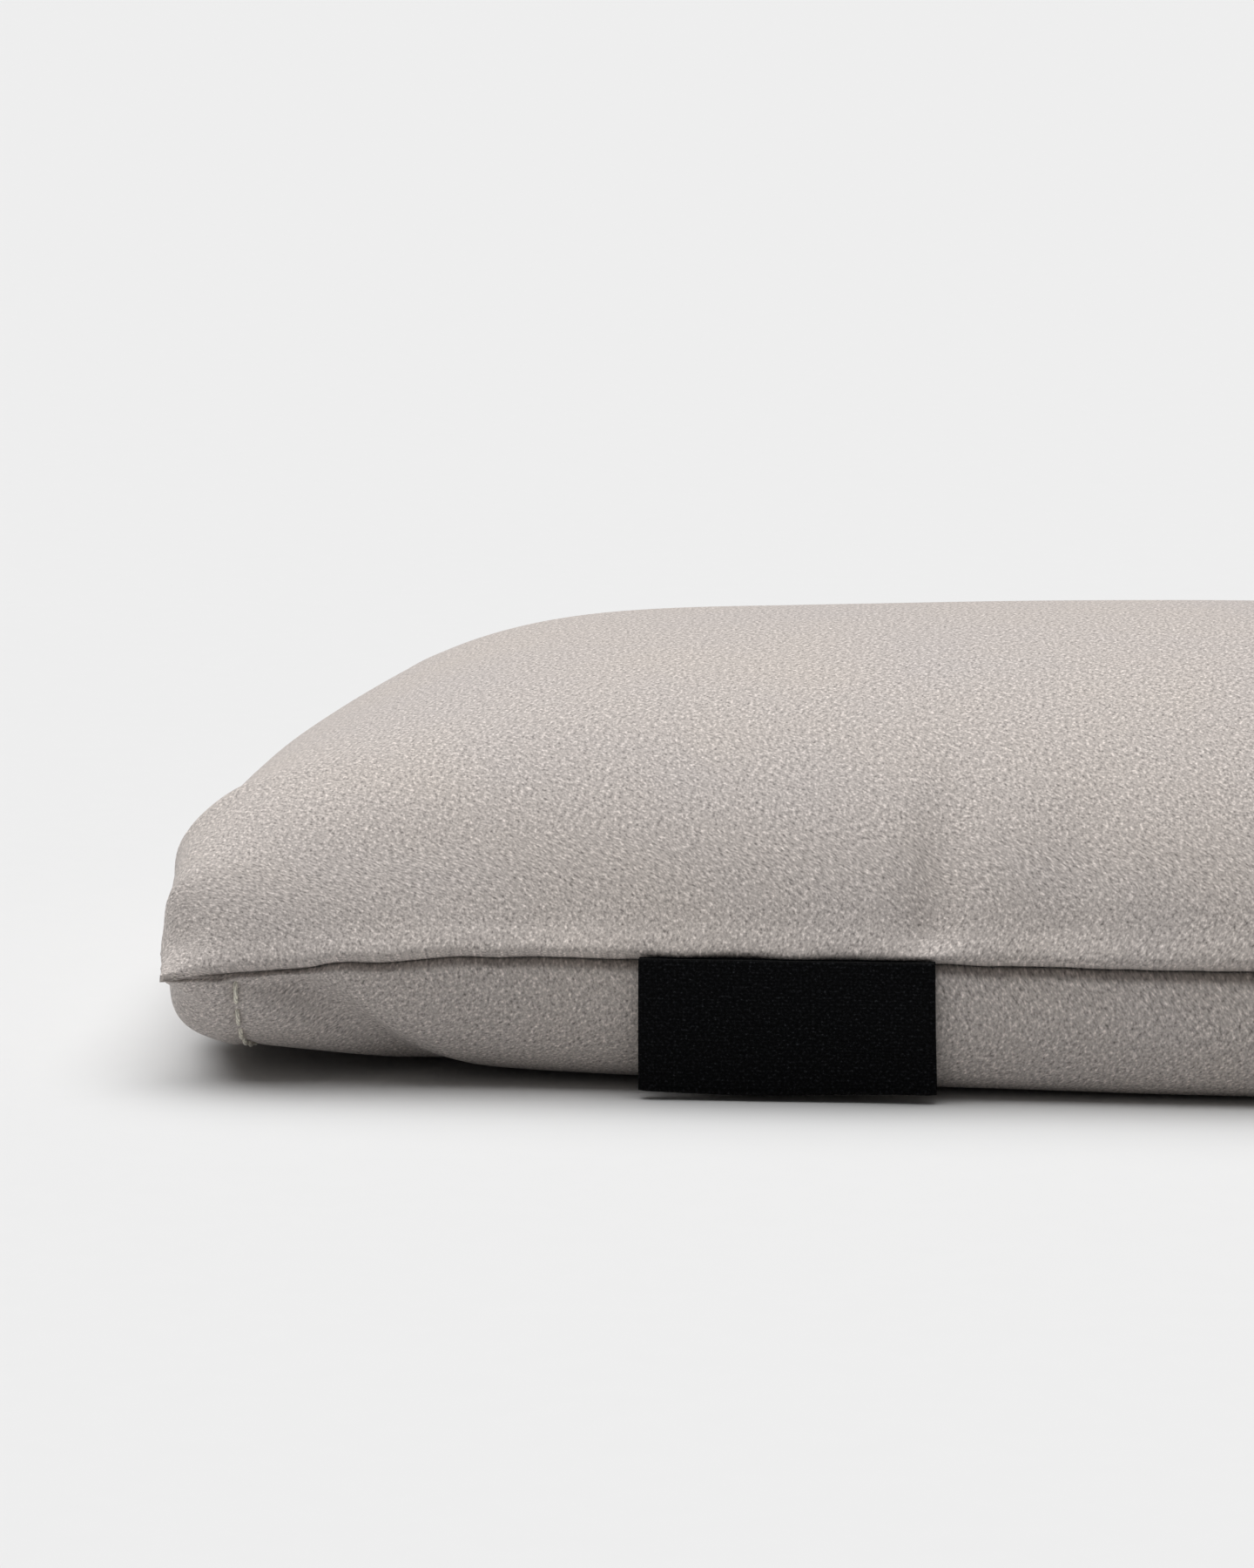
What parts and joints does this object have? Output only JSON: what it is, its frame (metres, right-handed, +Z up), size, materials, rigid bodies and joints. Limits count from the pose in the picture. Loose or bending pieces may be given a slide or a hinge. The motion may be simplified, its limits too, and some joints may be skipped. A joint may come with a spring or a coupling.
{
  "type": "eye pillow",
  "caption": "Filled eye pillow: removable cloth cover with a tuck-in flap at one end, a blank woven label on the front seam and a seed-filled inner pouch.",
  "frame": {"origin": "on the ground under the middle of the pillow: centre of the bounding box's bottom face", "axes": "+X along the pillow's length, away from the flap end; -Y towards the front with the label; +Z up"},
  "size_m": [0.232, 0.098, 0.032],
  "materials": {
    "cover_cloth": "satin",
    "label_weave": "matte",
    "cover_thread": "satin",
    "hem_thread": "satin",
    "pouch_cloth": "matte",
    "pouch_thread": "satin",
    "seed": "satin"
  },
  "bodies": {
    "cover": {"cover_top_panel": "cover_cloth", "cover_bottom_panel": "cover_cloth", "cover_seam_thread": "cover_thread", "end_hem_thread": "hem_thread"},
    "flap": {"tuck_flap": "cover_cloth", "flap_hem_thread": "hem_thread"},
    "label": {"woven_label": "label_weave"},
    "insert": {"pouch_top_panel": "pouch_cloth", "pouch_bottom_panel": "pouch_cloth", "pouch_seam_thread": "pouch_thread", "pouch_closing_thread": "pouch_thread", "flaxseed_fill": "seed"}
  },
  "joints": [
    {"name": "label_flip", "type": "hinge", "parent": "cover", "child": "label", "pos_m": [-0.0671, -0.04835, 0.0106], "axis": [1, 0, 0], "range_deg": [-100, 0]},
    {"name": "flap_open", "type": "hinge", "parent": "cover", "child": "flap", "pos_m": [-0.11185, 0, 0.01075], "axis": [0, -1, 0], "range_deg": [-160, 0], "deforming": ["tuck_flap", "flap_hem_thread"]},
    {"name": "insert_slide", "type": "slide", "parent": "cover", "child": "insert", "axis": [-1, 0, 0], "range_m": [0, 0.3], "deforming": ["cover_top_panel", "cover_bottom_panel", "cover_seam_thread", "end_hem_thread"]}
  ]
}
